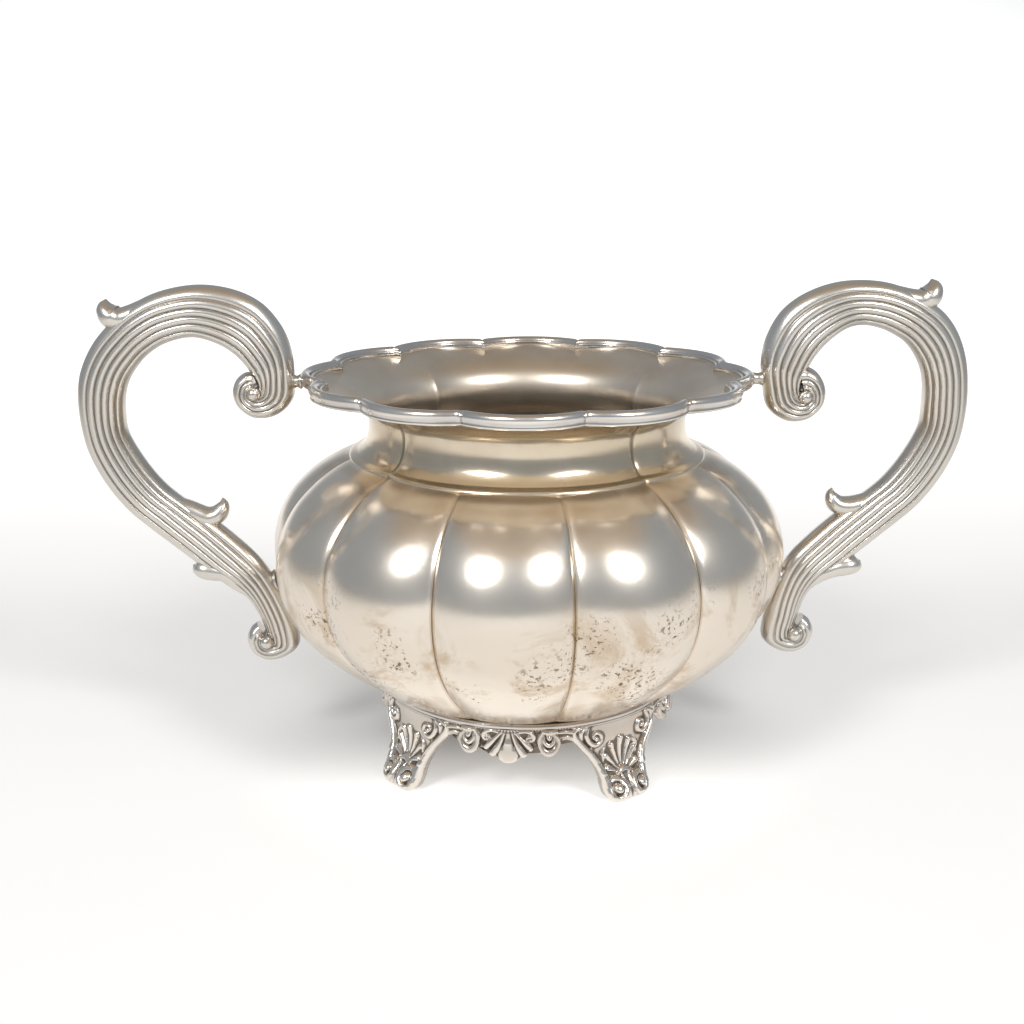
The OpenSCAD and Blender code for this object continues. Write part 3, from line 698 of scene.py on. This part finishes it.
# ---------------------------------------------------------------- materials
def silver(name, base, warm, rough, spots=0.0, grime=1.0, fine=1.0, start=0.03, full=0.13, rubbed=0.55):
    """Old polished silver: cloudy colour, brown tarnish in hollows and spots, wear and fine scratches."""
    m = bpy.data.materials.new(name)
    m.use_nodes = True
    nt = m.node_tree
    nt.nodes.clear()
    N = nt.nodes.new
    link = nt.links.new

    def math_node(op, a, b=None, clamp=False):
        n = N("ShaderNodeMath")
        n.operation = op
        n.use_clamp = clamp
        for k, x in enumerate((a, b)):
            if x is None:
                continue
            if isinstance(x, (int, float)):
                n.inputs[k].default_value = x
            else:
                link(x, n.inputs[k])
        return n.outputs[0]

    def mix(f, a, b, kind="MIX"):
        n = N("ShaderNodeMix")
        n.data_type = "RGBA"
        n.blend_type = kind
        n.clamp_factor = True
        for k, x in ((0, f), (6, a), (7, b)):
            if isinstance(x, (int, float)):
                n.inputs[k].default_value = x
            elif isinstance(x, tuple):
                n.inputs[k].default_value = (*x, 1)
            else:
                link(x, n.inputs[k])
        return n.outputs[2]

    def ramp(x, lo, hi, a=0.0, b=1.0):
        n = N("ShaderNodeMapRange")
        n.interpolation_type = "SMOOTHSTEP"
        link(x, n.inputs[0])
        for k, val in zip((1, 2, 3, 4), (lo, hi, a, b)):
            n.inputs[k].default_value = val
        return n.outputs[0]

    coord = N("ShaderNodeTexCoord").outputs["Object"]

    def noise(scale, detail=4, rough_=0.55, distort=0.0, stretch=None, offset=(0, 0, 0)):
        mp = N("ShaderNodeMapping")
        link(coord, mp.inputs[0])
        mp.inputs[1].default_value = offset
        mp.inputs[3].default_value = stretch or (1, 1, 1)
        n = N("ShaderNodeTexNoise")
        link(mp.outputs[0], n.inputs["Vector"])
        n.inputs["Scale"].default_value = scale
        n.inputs["Detail"].default_value = detail
        n.inputs["Roughness"].default_value = rough_
        n.inputs["Distortion"].default_value = distort
        return n.outputs[0]

    hollow = N("ShaderNodeAttribute")
    hollow.attribute_name = "hollow"
    hollow = hollow.outputs["Fac"]
    xyz = N("ShaderNodeSeparateXYZ")
    link(coord, xyz.inputs[0])
    height = xyz.outputs[2]

    cloud = ramp(noise(34, 3, 0.5, 0.4), 0.36, 0.66)
    patch = ramp(noise(85, 5, 0.62, 0.6, offset=(3, 1, 2)), 0.42, 0.68)
    colour = mix(cloud, base, warm)
    colour = mix(math_node("MULTIPLY", patch, 0.32), colour, (0.56, 0.45, 0.36))
    # brown tarnish that sits in the hollows
    dirt_edge = noise(420, 4, 0.6)
    low = math_node("ADD", hollow, math_node("MULTIPLY", math_node("SUBTRACT", dirt_edge, 0.5), 0.06))
    dirt = ramp(low, start, full)
    dirt = math_node("MULTIPLY", dirt, 0.82 * grime)
    colour = mix(dirt, colour, (0.105, 0.082, 0.06))
    # edges rubbed bright
    rub = ramp(hollow, -0.03, -0.12)
    colour = mix(math_node("MULTIPLY", rub, rubbed), colour, (0.93, 0.88, 0.8))
    roughness = math_node("ADD", rough, math_node("MULTIPLY", noise(150, 4, 0.6, offset=(5, 5, 5)), 0.09))
    roughness = math_node("ADD", roughness, math_node("MULTIPLY", dirt, 0.3))
    if spots:
        where = ramp(height, 0.058, 0.045)
        group = ramp(noise(64, 3, 0.5, 0.3, offset=(3, 5, 1)), 0.47, 0.62)
        speck = ramp(noise(1000, 3, 0.6, 0.4, offset=(1, 8, 3)), 0.57, 0.63)
        bigger = ramp(noise(480, 4, 0.65, 0.4, offset=(4, 4, 1)), 0.61, 0.68)
        speck = math_node("MAXIMUM", speck, bigger)
        spot = math_node("MULTIPLY", math_node("MULTIPLY", where, group), speck)
        spot = math_node("MULTIPLY", spot, spots)
        stain = math_node("MULTIPLY", math_node("MULTIPLY", where, ramp(noise(70, 5, 0.65, 0.9, offset=(2, 6, 5)), 0.48, 0.66)), 0.65 * spots)
        colour = mix(stain, colour, (0.5, 0.36, 0.22))
        colour = mix(spot, colour, (0.2, 0.13, 0.065))
        roughness = math_node("ADD", roughness, math_node("MULTIPLY", spot, 0.35))
        roughness = math_node("ADD", roughness, math_node("MULTIPLY", stain, 0.1))
    # fine scratches and the dull bloom of handling, as bump
    s1 = noise(900, 2, 0.5, 0.2, stretch=(1, 0.05, 0.9))
    s2 = noise(700, 2, 0.5, 0.3, stretch=(0.9, 0.9, 0.06), offset=(2, 2, 2))
    s3 = noise(230, 3, 0.5, offset=(9, 1, 4))
    relief = math_node("ADD", math_node("MULTIPLY", s1, 0.35), math_node("MULTIPLY", s2, 0.35))
    relief = math_node("ADD", relief, math_node("MULTIPLY", s3, 0.8))
    bump = N("ShaderNodeBump")
    bump.inputs["Strength"].default_value = 0.35 * fine
    bump.inputs["Distance"].default_value = 0.00006
    link(relief, bump.inputs["Height"])
    shader = N("ShaderNodeBsdfPrincipled")
    shader.inputs["Metallic"].default_value = 1.0
    shader.inputs["Specular IOR Level"].default_value = 0.5
    link(colour, shader.inputs["Base Color"])
    link(roughness, shader.inputs["Roughness"])
    link(bump.outputs[0], shader.inputs["Normal"])
    haze = N("ShaderNodeBsdfPrincipled")
    haze.inputs["Metallic"].default_value = 1.0
    link(colour, haze.inputs["Base Color"])
    link(math_node("ADD", roughness, 0.2), haze.inputs["Roughness"])
    link(bump.outputs[0], haze.inputs["Normal"])
    both = N("ShaderNodeMixShader")
    both.inputs[0].default_value = 0.24
    link(shader.outputs[0], both.inputs[1])
    link(haze.outputs[0], both.inputs[2])
    out = N("ShaderNodeOutputMaterial")
    link(both.outputs[0], out.inputs[0])
    return m


def dress(obj, material):
    obj.data.materials.clear()
    obj.data.materials.append(material)


def line_inside(obj, material):
    """The lining gets its own duller silver: the faces that look towards the bowl's axis."""
    obj.data.materials.append(material)
    for face in obj.data.polygons:
        c, n = face.center, face.normal
        if (c.x * n.x + c.y * n.y) / math.hypot(c.x, c.y) < -0.2 or (n.z > 0.5 and c.z < 0.022 and math.hypot(c.x, c.y) < 0.031):
            face.material_index = 1


raised = silver("raised_silver_aged", (0.665, 0.56, 0.445), (0.60, 0.48, 0.355), 0.165, spots=0.9, start=0.015, full=0.08)
collar = silver("collar_silver_aged", (0.70, 0.605, 0.47), (0.67, 0.565, 0.42), 0.12, grime=0.7, rubbed=0.25)
lining = silver("lining_silver_aged", (0.70, 0.62, 0.52), (0.64, 0.55, 0.44), 0.3, grime=0.5, rubbed=0.2)
border = silver("border_silver_aged", (0.67, 0.645, 0.615), (0.61, 0.56, 0.51), 0.13)
cast = silver("cast_silver_aged", (0.68, 0.63, 0.57), (0.60, 0.54, 0.48), 0.14, grime=1.0, rubbed=0.45)
reeded = silver("reeded_silver_aged", (0.60, 0.57, 0.525), (0.52, 0.485, 0.44), 0.2, grime=0.75, start=0.05, full=0.22, rubbed=0.35)

belly = build_belly()
neck = build_neck()
rim = build_rim()
ring = build_ring()
dress(belly, raised)
dress(neck, collar)
line_inside(belly, lining)
line_inside(neck, lining)
dress(rim, border)
dress(ring, border)
for side, word in ((-1, "left"), (1, "right")):
    for face, half in ((-1, "front"), (1, "back")):
        dress(build_handle(side, face, "handle_%s_%s_reeded" % (word, half), "handle_%s_%s_half" % (word, half)), reeded)
for joint in build_joints():
    dress(joint, reeded)
for cast_piece in build_feet():
    dress(cast_piece, cast)

# ---------------------------------------------------------------- floor, light and camera
floor_mesh = bpy.data.meshes.new("floor")
half = 1.6
floor_mesh.from_pydata([(-half, -half, 0), (half, -half, 0), (half, half, 0), (-half, half, 0)], [], [(0, 1, 2, 3)])
floor = bpy.data.objects.new("floor", floor_mesh)
bpy.context.collection.objects.link(floor)
paper = bpy.data.materials.new("paper_white")
paper.use_nodes = True
shade = paper.node_tree.nodes["Principled BSDF"]
shade.inputs["Roughness"].default_value = 0.9
shade.inputs["Specular IOR Level"].default_value = 0.2
grain = paper.node_tree.nodes.new("ShaderNodeTexNoise")
grain.inputs["Scale"].default_value = 60
tone = paper.node_tree.nodes.new("ShaderNodeMapRange")
tone.inputs[3].default_value = 0.61
tone.inputs[4].default_value = 0.63
paper.node_tree.links.new(grain.outputs[0], tone.inputs[0])
# painted light: the paper glows a little though it is no lamp, as if lit from all round, more far behind the bowl where
# a backdrop would curve up, with painted light and shadow under the bowl
links = paper.node_tree.links


def paper_range(x, lo, hi, a, b):
    n = paper.node_tree.nodes.new("ShaderNodeMapRange")
    n.interpolation_type = "SMOOTHSTEP"
    links.new(x, n.inputs[0])
    for k, value in zip((1, 2, 3, 4), (lo, hi, a, b)):
        n.inputs[k].default_value = value
    return n.outputs[0]


place = paper.node_tree.nodes.new("ShaderNodeTexCoord")
axes = paper.node_tree.nodes.new("ShaderNodeSeparateXYZ")
links.new(place.outputs["Object"], axes.inputs[0])
reach = paper.node_tree.nodes.new("ShaderNodeVectorMath")
reach.operation = "LENGTH"
links.new(place.outputs["Object"], reach.inputs[0])


def paper_math(op, a, b):
    n = paper.node_tree.nodes.new("ShaderNodeMath")
    n.operation = op
    for k, x in enumerate((a, b)):
        if isinstance(x, (int, float)):
            n.inputs[k].default_value = x
        else:
            links.new(x, n.inputs[k])
    return n.outputs[0]


# the sheet of paper is narrow in front of the bowl and wide behind it; the table beside it is darker
beside = paper_math("SUBTRACT", paper_math("ABSOLUTE", axes.outputs[0], 0.0), paper_math("MULTIPLY", paper_math("MAXIMUM", axes.outputs[1], 0.0), 0.4))
sheet_here = paper_range(beside, 0.16, 0.6, 1.0, 0.0)
links.new(paper_math("MULTIPLY", tone.outputs[0], paper_math("ADD", paper_math("MULTIPLY", sheet_here, 0.3), 0.7)), shade.inputs["Base Color"])
# painted light and shadow on the paper under the bowl: it glows brighter at the front, a dark painted shadow lies
# behind the bowl's middle, and both fade to the even glow further out
under = paper.node_tree.nodes.new("ShaderNodeMix")
under.data_type = "FLOAT"
links.new(paper_range(reach.outputs["Value"], 0.028, 0.075, 0.0, 1.0), under.inputs[0])
links.new(paper_range(axes.outputs[1], -0.03, 0.012, 0.6, 0.1), under.inputs[2])
under.inputs[3].default_value = 0.35
painted_glow = paper_math("ADD", under.outputs[0], paper_range(axes.outputs[1], 0.05, 0.5, 0.0, 0.55))
# the painted glow is weaker on the darker table beside the sheet
links.new(paper_math("MULTIPLY", painted_glow, paper_math("ADD", paper_math("MULTIPLY", sheet_here, 0.8), 0.2)), shade.inputs["Emission Strength"])
shade.inputs["Emission Color"].default_value = (1, 0.985, 0.96, 1)
floor_mesh.materials.append(paper)

world = bpy.data.worlds.new("studio")
bpy.context.scene.world = world
world.use_nodes = True
wt = world.node_tree
wt.nodes.clear()


def world_node(kind):
    return wt.nodes.new(kind)


def world_math(op, a, b=None):
    n = world_node("ShaderNodeMath")
    n.operation = op
    for k, x in enumerate((a, b)):
        if x is None:
            continue
        if isinstance(x, (int, float)):
            n.inputs[k].default_value = x
        else:
            wt.links.new(x, n.inputs[k])
    return n.outputs[0]


def world_range(x, lo, hi):
    n = world_node("ShaderNodeMapRange")
    n.interpolation_type = "SMOOTHSTEP"
    wt.links.new(x, n.inputs[0])
    n.inputs[1].default_value = lo
    n.inputs[2].default_value = hi
    return n.outputs[0]


def world_mix(f, a, b):
    n = world_node("ShaderNodeMix")
    n.data_type = "RGBA"
    wt.links.new(f, n.inputs[0])
    for k, x in ((6, a), (7, b)):
        if isinstance(x, tuple):
            n.inputs[k].default_value = (*x, 1)
        else:
            wt.links.new(x, n.inputs[k])
    return n.outputs[2]


direction = world_node("ShaderNodeTexCoord").outputs["Generated"]
split = world_node("ShaderNodeSeparateXYZ")
wt.links.new(direction, split.inputs[0])
x, y, z = split.outputs
backdrop = (1.15, 1.15, 1.14)
room = (0.325, 0.36, 0.40)
ceiling = (0.40, 0.33, 0.25)
front = world_mix(world_range(z, 0.72, 0.9), room, ceiling)
behind = world_range(world_math("ADD", y, world_math("MULTIPLY", z, -0.8)), 0.74, 0.97)
sky = world_mix(behind, front, backdrop)
below = world_mix(world_range(y, 0.7, 0.88), room, (1.05, 1.04, 1.02))
sky = world_mix(world_range(z, 0.02, -0.03), sky, below)
back = world_node("ShaderNodeBackground")
wt.links.new(sky, back.inputs[0])
back.inputs[1].default_value = 1.0
wout = world_node("ShaderNodeOutputWorld")
wt.links.new(back.outputs[0], wout.inputs[0])


def area(name, azimuth, elevation, distance, size_x, size_y, power, colour=(1, 1, 1), glossy=True):
    """A soft box that looks at the middle of the bowl. Azimuth 0 is the camera's side."""
    a, e = math.radians(azimuth), math.radians(elevation)
    place = Vector((math.sin(a) * math.cos(e), -math.cos(a) * math.cos(e), math.sin(e))) * distance
    target = Vector((0, 0, 0.055))
    data = bpy.data.lights.new(name, "AREA")
    data.shape = "ELLIPSE"
    data.size = size_x
    data.size_y = size_y
    data.energy = power
    data.color = colour
    lamp = bpy.data.objects.new(name, data)
    lamp.location = target + place
    lamp.rotation_euler = (-place).to_track_quat("-Z", "Y").to_euler()
    lamp.visible_glossy = glossy
    bpy.context.collection.objects.link(lamp)
    return lamp


for side, word in ((-1, "left"), (1, "right")):
    area("softbox_" + word, side * 35.5, 40, 1.2, 0.29, 0.35, 5)
    area("softbox_%s_edge" % word, side * 35.5, 40, 1.22, 0.52, 0.6, 2.2)

low, high = [Vector(v) for v in cad_box]
height = high.z - low.z
length = high.x - low.x
target = Vector((0, 0, low.z + 0.5226 * height))
distance = 1.725 * length
azimuth, elevation = math.radians(-2), math.radians(15.4)
cam_data = bpy.data.cameras.new("camera")
cam_data.sensor_width = 36
cam_data.lens = 36 * 1500 / 1024
cam_data.shift_x = -15 / 1024
cam = bpy.data.objects.new("camera", cam_data)
cam.location = target + distance * Vector((math.sin(azimuth) * math.cos(elevation),
                                           -math.cos(azimuth) * math.cos(elevation), math.sin(elevation)))
cam.rotation_euler = (target - cam.location).to_track_quat("-Z", "Y").to_euler()
bpy.context.collection.objects.link(cam)
bpy.context.scene.camera = cam
bpy.context.scene.view_settings.view_transform = "Standard"
